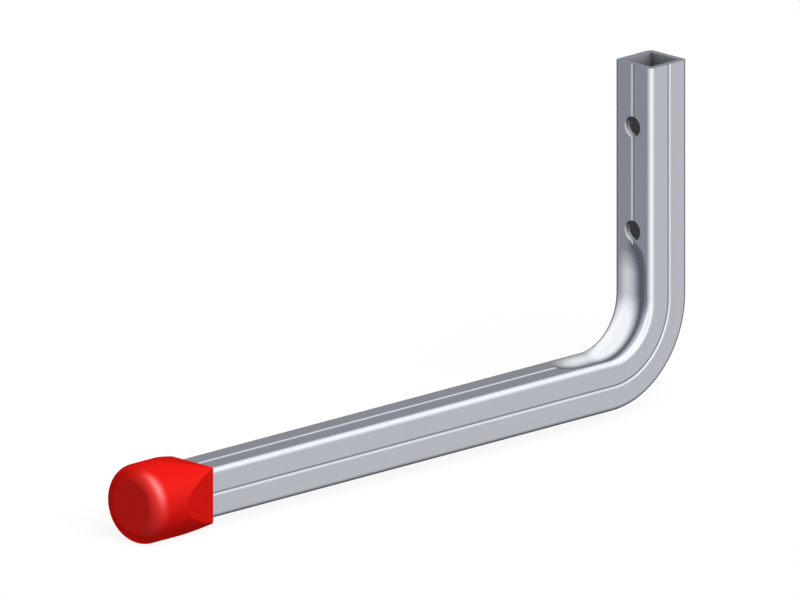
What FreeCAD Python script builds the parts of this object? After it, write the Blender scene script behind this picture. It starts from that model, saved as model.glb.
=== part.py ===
import FreeCAD, Part
import math
import os

# Straight wall hook: a square aluminium tube bent once, with a push-on plastic cap.
# Frame in millimetres: X points out of the wall along the arm, Z is up, and the tube is
# symmetric about Y = 0. The origin lies on the wall face, midway between the two screws.

# Tube section
TUBE = 24.0              # outside width of the square tube
WALL = 3.0               # wall of the tube
CORNER_R = 2.5           # outside corners; the hollow's are sharp
LINE_WIDTH = 2.0         # shallow V-shaped line along the middle of each face
LINE_DEPTH = 0.35

# Shape of the bent tube
BEND_R = 36.0            # radius of the centre line
HEIGHT = 160.0           # top of the leg over the underside of the arm
REACH = 350.0            # wall face to the end of the tube

# Screw holes in the leg
TOP_TO_SCREW = 30.0      # top of the leg to the upper screw
SCREW_PITCH = 50.0
ACCESS_D = 9.6           # front wall, lets the screw head and the driver in
ACCESS_CHAMFER = 0.2     # broken front edge of that hole
SCREW_D = 6.5            # rear wall, passes the screw and holds its head

# Channel pressed into the inside of the bend
PRESS_DEPTH = 2.75
PRESS_NOSE_R = 8.6       # rounded bottom of the channel
PRESS_MARGIN = 0.1       # flat left between its lips and the tube's corners
PRESS_STRAIGHT = 11.0    # full depth beyond each end of the bend
PRESS_RUNOUT_R = 42.0    # curve of the bottom where the channel runs out

# Cap
CAP_D = 38.0
CAP_LENGTH = 41.0
CAP_FRONT = 3.0          # thickness over the end of the tube
CAP_SQUARE = 27.0        # width over the flats at the rear
CAP_FLAT_LENGTH = 23.0   # the flats slant out to the full diameter over this length
CAP_NOSE_R = 7.2         # rounded front edge
CAP_REAR_R = 0.8         # rounded rear edge
CAP_FIT = 0.1            # gap between tube and pocket on each side

# Places that follow from the sizes
LEG_AXIS_X = TUBE / 2
LEG_TOP_Z = SCREW_PITCH / 2 + TOP_TO_SCREW
ARM_BOTTOM_Z = LEG_TOP_Z - HEIGHT
ARM_AXIS_Z = ARM_BOTTOM_Z + TUBE / 2
BEND_X = LEG_AXIS_X + BEND_R
BEND_Z = ARM_AXIS_Z + BEND_R
CAP_REAR_X = REACH + CAP_FRONT - CAP_LENGTH

X_AXIS = FreeCAD.Vector(1, 0, 0)
Y_AXIS = FreeCAD.Vector(0, 1, 0)
Z_AXIS = FreeCAD.Vector(0, 0, 1)
BEND_CENTRE = FreeCAD.Vector(BEND_X, 0, BEND_Z)


def bend_point(radius, degrees, y=0.0):
    """A point round the centre of the bend: 180 degrees at the leg, 270 at the arm."""
    turn = math.radians(degrees)
    x = BEND_X + radius * math.cos(turn)
    z = BEND_Z + radius * math.sin(turn)
    return FreeCAD.Vector(x, y, z)


def swept_round(path, radius):
    """Solid round bar along a path."""
    first = path.Edges[0]
    start = first.valueAt(first.FirstParameter)
    along = first.tangentAt(first.FirstParameter)
    section = Part.Wire(Part.makeCircle(radius, start, along))
    return path.makePipeShell([section], True, False)


def square_section(width, corner_r=0.0):
    """Level square face round the leg's axis, where the bend begins."""
    half = width / 2
    block = Part.makeBox(width, width, width, FreeCAD.Vector(LEG_AXIS_X - half, -half, BEND_Z))
    if corner_r:
        upright = [e for e in block.Edges if abs(e.tangentAt(e.FirstParameter).z) > 0.9]
        block = block.makeFillet(corner_r, upright)
    return min(block.Faces, key=lambda face: face.CenterOfMass.z)


def bent_bar(section, overrun=0.0):
    """Solid bar along the whole hook, made longer by overrun at both ends."""
    leg = section.extrude(Z_AXIS * (LEG_TOP_Z + overrun - BEND_Z))
    bend = section.revolve(BEND_CENTRE, Y_AXIS * -1, 90)
    turned = section.copy()
    turned.rotate(BEND_CENTRE, Y_AXIS * -1, 90)
    arm = turned.extrude(X_AXIS * (REACH + overrun - BEND_X))
    return leg.fuse([bend, arm]).removeSplitter().Solids[0]


def press_path():
    """Path of the middle of the pressing tool's round nose.

    The bottom of the channel follows the bend, keeps its depth a little way along leg
    and arm, and curves out of the tube at both ends.
    """
    offset = TUBE / 2 - PRESS_DEPTH + PRESS_NOSE_R
    curve_r = PRESS_RUNOUT_R - PRESS_NOSE_R
    sweep = math.acos(1 - 2 * (PRESS_DEPTH + WALL) / PRESS_RUNOUT_R)
    turns = [sweep, sweep / 2, 0]
    rise = [curve_r * (1 - math.cos(turn)) for turn in turns]
    run = [PRESS_STRAIGHT + curve_r * math.sin(turn) for turn in turns]
    leg = [FreeCAD.Vector(LEG_AXIS_X + offset + r, 0, BEND_Z + s) for r, s in zip(rise, run)]
    arm = [FreeCAD.Vector(BEND_X + s, 0, ARM_AXIS_Z + offset + r) for r, s in zip(rise, run)]
    bend = [bend_point(BEND_R - offset, degrees) for degrees in (180, 225, 270)]
    return Part.Wire([
        Part.Arc(*leg).toShape(),
        Part.makeLine(leg[2], bend[0]),
        Part.Arc(*bend).toShape(),
        Part.makeLine(bend[2], arm[2]),
        Part.Arc(*reversed(arm)).toShape(),
    ])


def on_skin(shape, place):
    return shape.Shells[0].distToShape(Part.Vertex(place))[0] < 0.0001


def seam_edges(result, first, second):
    """Edges of result along which the skins of two other solids meet."""
    found = []
    for edge in result.Edges:
        middle = edge.valueAt((edge.FirstParameter + edge.LastParameter) / 2)
        if on_skin(first, middle) and on_skin(second, middle):
            found.append(edge)
    return found


def pressed_bar():
    """The bar's outside with the channel pressed in and its lips rounded.

    Nose and lips make one smooth wave across the face, so the lip radius follows from
    the depth of the channel and the flat width of the tube.
    """
    bar = bent_bar(square_section(TUBE, CORNER_R))
    tool = swept_round(press_path(), PRESS_NOSE_R)
    cut = bar.cut(tool).removeSplitter().Solids[0]
    reach = TUBE / 2 - CORNER_R - PRESS_MARGIN
    lip_r = (reach ** 2 + PRESS_DEPTH ** 2) / (2 * PRESS_DEPTH) - PRESS_NOSE_R
    return cut.makeFillet(lip_r, seam_edges(cut, bar, tool))


def pressed_hollow():
    """The hollow of the tube, with the wall of the channel standing into it."""
    hollow = bent_bar(square_section(TUBE - 2 * WALL), WALL)
    tool = swept_round(press_path(), PRESS_NOSE_R + WALL)
    return hollow.cut(tool).Solids[0]


def face_line(outward, across):
    """V-shaped cutter for the shallow line along one face, whose flanks run on outside it."""
    axis = FreeCAD.Vector(LEG_AXIS_X, 0, BEND_Z)
    tip = axis + outward * (TUBE / 2 - LINE_DEPTH)
    mouth = axis + outward * (TUBE / 2 + LINE_DEPTH)
    corners = [tip, mouth + across * LINE_WIDTH, mouth - across * LINE_WIDTH, tip]
    return bent_bar(Part.Face(Part.makePolygon(corners)), WALL)


def screw_holes():
    """Cutters for the wide hole in the front wall and the screw hole behind it."""
    cutters = []
    for z in (-SCREW_PITCH / 2, SCREW_PITCH / 2):
        wide_start = FreeCAD.Vector(TUBE / 2, 0, z)
        cutters.append(Part.makeCylinder(ACCESS_D / 2, TUBE, wide_start, X_AXIS))
        edge_start = FreeCAD.Vector(TUBE - ACCESS_CHAMFER, 0, z)
        edge_r = ACCESS_D / 2 + 2 * ACCESS_CHAMFER
        cutters.append(Part.makeCone(ACCESS_D / 2, edge_r, 2 * ACCESS_CHAMFER, edge_start, X_AXIS))
        narrow_start = FreeCAD.Vector(-TUBE / 2, 0, z)
        cutters.append(Part.makeCylinder(SCREW_D / 2, TUBE, narrow_start, X_AXIS))
    return cutters


def bent_tube():
    lines = [face_line(X_AXIS * side, Y_AXIS) for side in (1, -1)]
    lines += [face_line(Y_AXIS * side, X_AXIS) for side in (1, -1)]
    outside = pressed_bar().cut(lines)
    return outside.cut([pressed_hollow()] + screw_holes()).Solids[0]


def slanted_block():
    """Block round the arm's axis whose top and bottom slant apart towards the cap's front."""
    rear_half = CAP_SQUARE / 2
    slope = (CAP_D - CAP_SQUARE) / 2 / CAP_FLAT_LENGTH
    front_half = rear_half + slope * CAP_LENGTH
    front_x = CAP_REAR_X + CAP_LENGTH
    corners = [
        FreeCAD.Vector(CAP_REAR_X, -CAP_D, ARM_AXIS_Z - rear_half),
        FreeCAD.Vector(front_x, -CAP_D, ARM_AXIS_Z - front_half),
        FreeCAD.Vector(front_x, -CAP_D, ARM_AXIS_Z + front_half),
        FreeCAD.Vector(CAP_REAR_X, -CAP_D, ARM_AXIS_Z + rear_half),
    ]
    side = Part.Face(Part.makePolygon(corners + corners[:1]))
    return side.extrude(Y_AXIS * 2 * CAP_D)


def rear_edges(shape):
    return [edge for edge in shape.Edges if abs(edge.BoundBox.XMax - CAP_REAR_X) < 0.001]


def end_cap():
    """Round cap whose rear end is drawn in to a square round the tube."""
    rear = FreeCAD.Vector(CAP_REAR_X, 0, ARM_AXIS_Z)
    round_body = Part.makeCylinder(CAP_D / 2, CAP_LENGTH, rear, X_AXIS)
    front_rim = [e for e in round_body.Edges if e.CenterOfMass.x > REACH and len(e.Vertexes) == 1]
    round_body = round_body.makeFillet(CAP_NOSE_R, front_rim)
    round_body = round_body.makeFillet(CAP_REAR_R, rear_edges(round_body))
    flats = slanted_block()
    turned = flats.copy()
    turned.rotate(rear, X_AXIS, 90)
    flats = flats.common(turned).Solids[0]
    flats = flats.makeFillet(CAP_REAR_R, rear_edges(flats))
    body = round_body.common(flats).Solids[0]
    width = TUBE + 2 * CAP_FIT
    corner = FreeCAD.Vector(CAP_REAR_X - WALL, -width / 2, ARM_AXIS_Z - width / 2)
    pocket = Part.makeBox(REACH - CAP_REAR_X + WALL, width, width, corner)
    along = [e for e in pocket.Edges if abs(e.tangentAt(e.FirstParameter).x) > 0.9]
    pocket = pocket.makeFillet(CORNER_R + CAP_FIT, along)
    return body.cut(pocket).Solids[0]


if __name__ == "__main__":
    os.makedirs("parts", exist_ok=True)
    bent_tube().exportStep("parts/bent_tube.step")
    end_cap().exportStep("parts/end_cap.step")
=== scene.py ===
import math

import bpy
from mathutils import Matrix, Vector


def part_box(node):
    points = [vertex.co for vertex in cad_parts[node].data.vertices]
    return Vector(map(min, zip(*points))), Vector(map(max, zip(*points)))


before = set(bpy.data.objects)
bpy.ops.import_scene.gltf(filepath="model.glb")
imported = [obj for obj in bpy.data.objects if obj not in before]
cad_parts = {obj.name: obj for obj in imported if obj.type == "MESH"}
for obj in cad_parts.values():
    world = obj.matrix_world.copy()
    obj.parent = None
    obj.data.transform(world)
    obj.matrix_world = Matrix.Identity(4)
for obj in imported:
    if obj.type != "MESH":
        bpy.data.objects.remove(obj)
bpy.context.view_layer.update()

scene = bpy.context.scene
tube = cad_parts["bent_tube"]
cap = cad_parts["end_cap"]

# Bend of the tube in the CAD model, in metres: its centre, and the radius of the centre line
BEND_X = 0.048
BEND_Z = -0.057
BEND_R = 0.036

# Metal
METAL_DARK = (0.81, 0.825, 0.85, 1.0)
METAL_LIGHT = (0.92, 0.935, 0.955, 1.0)
# Painted shade: dark colour mixed into the metal where nearby walls of the tube hide the studio
METAL_PAINTED_SHADE = (0.06, 0.06, 0.06, 1.0)
METAL_ROUGHNESS = (0.16, 0.24)
FINE_LINES = 2600.0             # die lines per metre across the tube
FINE_LINES_ALONG = 9.0          # how often they change per metre along it
BROAD_LINES = 520.0
BROAD_LINES_ALONG = 3.0
LINE_HEIGHT = 0.00004
PAINTED_SHADE_REACH = 0.03             # painted shade: only walls of the tube nearer than this darken a point
PAINTED_SHADE_RANGE = (0.12, 0.93)     # painted shade: open share of the view where it is darkest, and where it ends

# Plastic
RED_DARK = (0.56, 0.0078, 0.0060, 1.0)
RED_LIGHT = (0.62, 0.0092, 0.0070, 1.0)
RED_ROUGHNESS = (0.42, 0.50)
GRAIN_HEIGHT = 0.00003
GLOSS = 0.30
GLOSS_RANGE = (0.05, 0.36)      # slant of a face to the eye where the gloss is full, and where it ends

# Floor, as high as the lowest point of the cap
FLOOR_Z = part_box("end_cap")[0][2]
FLOOR_HALF_WIDTH = 6.0
FLOOR_DARK = (0.07, 0.07, 0.07, 1.0)
FLOOR_LIGHT = (0.08, 0.08, 0.08, 1.0)
FLOOR_GLOW = 0.915
WHITE = (1.0, 1.0, 1.0, 1.0)

# Lamps: where the light comes from, its strength, and its spread in degrees of sky
KEY_LIGHT = ((0.19, 0.67, 0.72), 4.9, 45.0)
FILL_LIGHT = ((-0.18, -0.70, -0.69), 4.4, 120.0)

# Lamps that show as gloss only, on an arc over the cap that leans forward, along +X: degrees
# from straight up over to +Y, and strength
SHEEN_LIGHTS = ((5, 1.2), (25, 2.4), (43, 3.2), (62, 1.8), (82, 0.6))
SHEEN_FORWARD = 0.3
SHEEN_SPREAD = 30.0

# Soft boxes: direction, the cosines of the angle to it where the light starts and where it
# is full, and the full brightness. A cosine past 1 means that it still rises in the middle.
SOFT_BOXES = (
    ((-0.487, -0.067, 0.871), 0.269, 2.669, 2.02),
    ((-0.132, 0.991, 0.006), 0.183, 0.770, 0.35),
    ((0.492, 0.384, 0.781), -0.575, 1.824, 1.785),
)
BRIGHTEST = 1.0
BOX_COLOUR = (1.00, 1.00, 0.995, 1.0)
SURROUND_COLOUR = (0.89, 1.00, 1.29, 1.0)
SURROUND_BRIGHTNESS = 0.108

# Where the top of the arm mirrors the boxes to a viewer behind the hook they are dimmer, so
# that it shows on the white floor. The range holds the cosines of 30 and 12 degrees.
DIMMED_WAY = (0.664, 0.664, 0.342)
DIMMED_RANGE = (0.866, 0.978)
DIMMED_SHARE = 0.84

# Camera
AZIMUTH = math.radians(135.0)
ELEVATION = math.radians(15.53)
VIEW_CENTRE = Vector((0.1764, 0.0, -0.0284))
VIEW_WIDTH = 0.3707
CAMERA_DISTANCE = 2.0
CAMERA_RANGE = (0.05, 30.0)


class Graph:
    """Short calls for one node tree."""

    def __init__(self, owner):
        owner.use_nodes = True
        self.owner = owner
        self.tree = owner.node_tree
        self.shader = self.tree.nodes.get("Principled BSDF")

    def node(self, kind, **settings):
        made = self.tree.nodes.new(kind)
        for key, value in settings.items():
            setattr(made, key, value)
        return made

    def link(self, source, target):
        self.tree.links.new(source, target)

    def put(self, socket, value):
        if isinstance(value, bpy.types.NodeSocket):
            self.link(value, socket)
        else:
            socket.default_value = value

    def place(self):
        """Place in the part's own frame, in metres."""
        return self.node("ShaderNodeTexCoord").outputs["Object"]

    def math(self, operation, a, b=0.0):
        made = self.node("ShaderNodeMath", operation=operation)
        self.put(made.inputs[0], a)
        self.put(made.inputs[1], b)
        return made.outputs[0]

    def add(self, a, b):
        return self.math("ADD", a, b)

    def times(self, a, b):
        return self.math("MULTIPLY", a, b)

    def minus(self, a, b):
        return self.math("SUBTRACT", a, b)

    def blend(self, a, share, b):
        """Mean of a and b, in which a has this share."""
        return self.add(self.times(a, share), self.times(b, 1.0 - share))

    def combine(self, x, y, z):
        made = self.node("ShaderNodeCombineXYZ")
        for socket, value in zip(made.inputs, (x, y, z)):
            self.put(socket, value)
        return made.outputs[0]

    def noise(self, vector, scale, detail, roughness=0.5):
        made = self.node("ShaderNodeTexNoise")
        self.link(vector, made.inputs["Vector"])
        made.inputs["Scale"].default_value = scale
        made.inputs["Detail"].default_value = detail
        made.inputs["Roughness"].default_value = roughness
        return made.outputs["Fac"]

    def dot(self, vector, direction):
        made = self.node("ShaderNodeVectorMath", operation="DOT_PRODUCT")
        self.link(vector, made.inputs[0])
        made.inputs[1].default_value = Vector(direction).normalized()
        return made.outputs["Value"]

    def ramp(self, value, start, end, low, high, shape="SMOOTHSTEP"):
        """Goes from low at start to high at end, and stays level outside."""
        made = self.node("ShaderNodeMapRange", interpolation_type=shape)
        self.link(value, made.inputs["Value"])
        made.inputs["From Min"].default_value = start
        made.inputs["From Max"].default_value = end
        made.inputs["To Min"].default_value = low
        made.inputs["To Max"].default_value = high
        return made.outputs["Result"]

    def spread(self, value, low, high):
        return self.ramp(value, 0.0, 1.0, low, high, "LINEAR")

    def mix(self, factor, a, b):
        made = self.node("ShaderNodeMix", data_type="RGBA")
        self.put(made.inputs[0], factor)
        self.put(made.inputs[6], a)
        self.put(made.inputs[7], b)
        return made.outputs[2]

    def bump(self, height, strength, distance):
        made = self.node("ShaderNodeBump")
        made.inputs["Strength"].default_value = strength
        made.inputs["Distance"].default_value = distance
        self.link(height, made.inputs["Height"])
        return made.outputs["Normal"]


def tube_coordinates(g, place):
    """Metres from the centre line towards the middle of the bend, sideways, and along the tube."""
    split = g.node("ShaderNodeSeparateXYZ")
    g.link(place, split.inputs[0])
    x, sideways, z = split.outputs
    dx = g.minus(x, BEND_X)
    dz = g.minus(z, BEND_Z)
    bend_x = g.math("MINIMUM", dx, 0.0)
    bend_z = g.math("MINIMUM", dz, 0.0)
    square = g.add(g.times(bend_x, bend_x), g.times(bend_z, bend_z))
    inward = g.minus(BEND_R, g.math("SQRT", square))
    turn = g.math("ARCTAN2", g.times(bend_z, -1.0), g.times(bend_x, -1.0))
    straight = g.minus(g.math("MAXIMUM", dx, 0.0), g.math("MAXIMUM", dz, 0.0))
    along = g.add(g.times(turn, BEND_R), straight)
    return inward, sideways, along


def aluminium():
    """Satin extruded aluminium: fine die lines that follow the tube round its bend.

    Inside the hollow and the holes its colour is darkened, a painted shade where little of the studio
    is seen.
    """
    g = Graph(bpy.data.materials.new("satin_aluminium"))
    place = g.place()
    inward, sideways, along = tube_coordinates(g, place)

    def die_lines(lines_across, changes_along, detail, roughness):
        stretched = g.combine(g.times(inward, lines_across), g.times(sideways, lines_across),
                              g.times(along, changes_along))
        return g.noise(stretched, 1.0, detail, roughness)

    fine = die_lines(FINE_LINES, FINE_LINES_ALONG, 2.0, 0.6)
    broad = die_lines(BROAD_LINES, BROAD_LINES_ALONG, 1.0, 0.5)
    lines = g.blend(fine, 0.65, broad)
    cloud = g.noise(place, 60.0, 3.0, 0.55)

    tone = g.mix(g.blend(lines, 0.7, cloud), METAL_DARK, METAL_LIGHT)
    # Painted shade: the colour is darkened where nearby walls of the tube hide the studio
    painted_shade_openness = g.node("ShaderNodeAmbientOcclusion", samples=12, only_local=True)
    painted_shade_openness.inputs["Distance"].default_value = PAINTED_SHADE_REACH
    painted_shade = g.ramp(painted_shade_openness.outputs["AO"], *PAINTED_SHADE_RANGE, 1.0, 0.0)
    g.link(g.mix(painted_shade, tone, METAL_PAINTED_SHADE), g.shader.inputs["Base Color"])
    g.shader.inputs["Metallic"].default_value = 1.0
    g.link(g.spread(g.blend(lines, 0.6, cloud), *METAL_ROUGHNESS), g.shader.inputs["Roughness"])
    g.link(g.bump(lines, 0.12, LINE_HEIGHT), g.shader.inputs["Normal"])
    return g.owner


def red_plastic():
    """Moulded red plastic with a fine even texture."""
    g = Graph(bpy.data.materials.new("red_moulded_plastic"))
    place = g.place()
    grain = g.noise(place, 2400.0, 2.0)
    cloud = g.noise(place, 90.0, 3.0)
    g.link(g.mix(cloud, RED_DARK, RED_LIGHT), g.shader.inputs["Base Color"])
    g.link(g.spread(cloud, *RED_ROUGHNESS), g.shader.inputs["Roughness"])
    slant = g.node("ShaderNodeLayerWeight").outputs["Facing"]
    g.link(g.ramp(slant, *GLOSS_RANGE, GLOSS, 0.0), g.shader.inputs["Specular IOR Level"])
    g.link(g.bump(grain, 0.10, GRAIN_HEIGHT), g.shader.inputs["Normal"])
    return g.owner


def pale_floor():
    """White that comes from a glow more than from the lamps, so that shadows stay faint."""
    g = Graph(bpy.data.materials.new("pale_floor"))
    cloud = g.noise(g.place(), 3.0, 2.0)
    g.link(g.mix(cloud, FLOOR_DARK, FLOOR_LIGHT), g.shader.inputs["Base Color"])
    g.shader.inputs["Roughness"].default_value = 1.0
    g.shader.inputs["Specular IOR Level"].default_value = 0.0
    g.shader.inputs["Emission Color"].default_value = WHITE
    g.shader.inputs["Emission Strength"].default_value = FLOOR_GLOW
    return g.owner


def studio_world():
    """What the metal reflects: a dim surround and three large soft boxes."""
    g = Graph(bpy.data.worlds.new("studio"))
    way = g.node("ShaderNodeTexCoord").outputs["Generated"]
    glow = 0.0
    for direction, start, full, brightness in SOFT_BOXES:
        glow = g.add(g.ramp(g.dot(way, direction), start, full, 0.0, brightness), glow)
    dimming = g.ramp(g.dot(way, DIMMED_WAY), *DIMMED_RANGE, 1.0, DIMMED_SHARE)
    boxes = g.node("ShaderNodeBackground")
    boxes.inputs["Color"].default_value = BOX_COLOUR
    g.link(g.times(g.math("MINIMUM", glow, BRIGHTEST), dimming), boxes.inputs["Strength"])
    surround = g.tree.nodes["Background"]
    surround.inputs["Color"].default_value = SURROUND_COLOUR
    surround.inputs["Strength"].default_value = SURROUND_BRIGHTNESS
    both = g.node("ShaderNodeAddShader")
    g.link(surround.outputs[0], both.inputs[0])
    g.link(boxes.outputs[0], both.inputs[1])
    g.link(both.outputs[0], g.tree.nodes["World Output"].inputs["Surface"])
    return g.owner


def dress(piece, material):
    """Gives a piece its one material, and keeps it out of all reflections."""
    piece.data.materials.clear()
    piece.data.materials.append(material)
    piece.visible_glossy = False


def make_floor():
    """Flat square that takes shadows, but throws neither shadow nor light on the part."""
    mesh = bpy.data.meshes.new("floor")
    half = FLOOR_HALF_WIDTH
    corners = [(x * half, y * half, FLOOR_Z) for x, y in ((-1, -1), (1, -1), (1, 1), (-1, 1))]
    mesh.from_pydata(corners, [], [(0, 1, 2, 3)])
    made = bpy.data.objects.new("floor", mesh)
    scene.collection.objects.link(made)
    made.visible_diffuse = False
    made.visible_shadow = False
    return made


def soft_sun(name, source, strength, spread, lit):
    """Even light from so many degrees of sky round source, on the pieces in lit."""
    data = bpy.data.lights.new(name, "SUN")
    data.energy = strength
    data.angle = math.radians(spread)
    lamp = bpy.data.objects.new(name, data)
    lamp.rotation_mode = "QUATERNION"
    lamp.rotation_quaternion = (-Vector(source)).to_track_quat("-Z", "Y")
    lamp.light_linking.receiver_collection = lit
    scene.collection.objects.link(lamp)
    return lamp


def make_lamps(lit):
    """Key and fill light for the colour, and an arc of lamps for the highlight."""
    soft_sun("key_light", *KEY_LIGHT, lit).visible_glossy = False
    soft_sun("fill_light", *FILL_LIGHT, lit).visible_glossy = False
    for tilt, strength in SHEEN_LIGHTS:
        angle = math.radians(tilt)
        source = (SHEEN_FORWARD, math.sin(angle), math.cos(angle))
        soft_sun(f"sheen_light_{tilt}", source, strength, SHEEN_SPREAD, lit).visible_diffuse = False


def make_camera():
    """Camera without perspective, at the photograph's angle."""
    back = Vector((math.sin(AZIMUTH) * math.cos(ELEVATION), -math.cos(AZIMUTH) * math.cos(ELEVATION),
                   math.sin(ELEVATION)))
    data = bpy.data.cameras.new("camera")
    data.type = "ORTHO"
    data.ortho_scale = VIEW_WIDTH
    data.clip_start, data.clip_end = CAMERA_RANGE
    made = bpy.data.objects.new("camera", data)
    made.location = VIEW_CENTRE + back * CAMERA_DISTANCE
    made.rotation_mode = "QUATERNION"
    made.rotation_quaternion = (-back).to_track_quat("-Z", "Y")
    scene.collection.objects.link(made)
    return made


dress(tube, aluminium())
dress(cap, red_plastic())

floor = make_floor()
dress(floor, pale_floor())

# The metal shows only the world, which in turn lights only the metal and the gloss of the cap
lit_by_lamps = bpy.data.collections.new("lit_by_lamps")
lit_by_lamps.objects.link(cap)
lit_by_lamps.objects.link(floor)
make_lamps(lit_by_lamps)
scene.world = studio_world()
scene.world.cycles_visibility.diffuse = False

scene.camera = make_camera()
scene.view_settings.view_transform = "Standard"
scene.view_settings.look = "None"
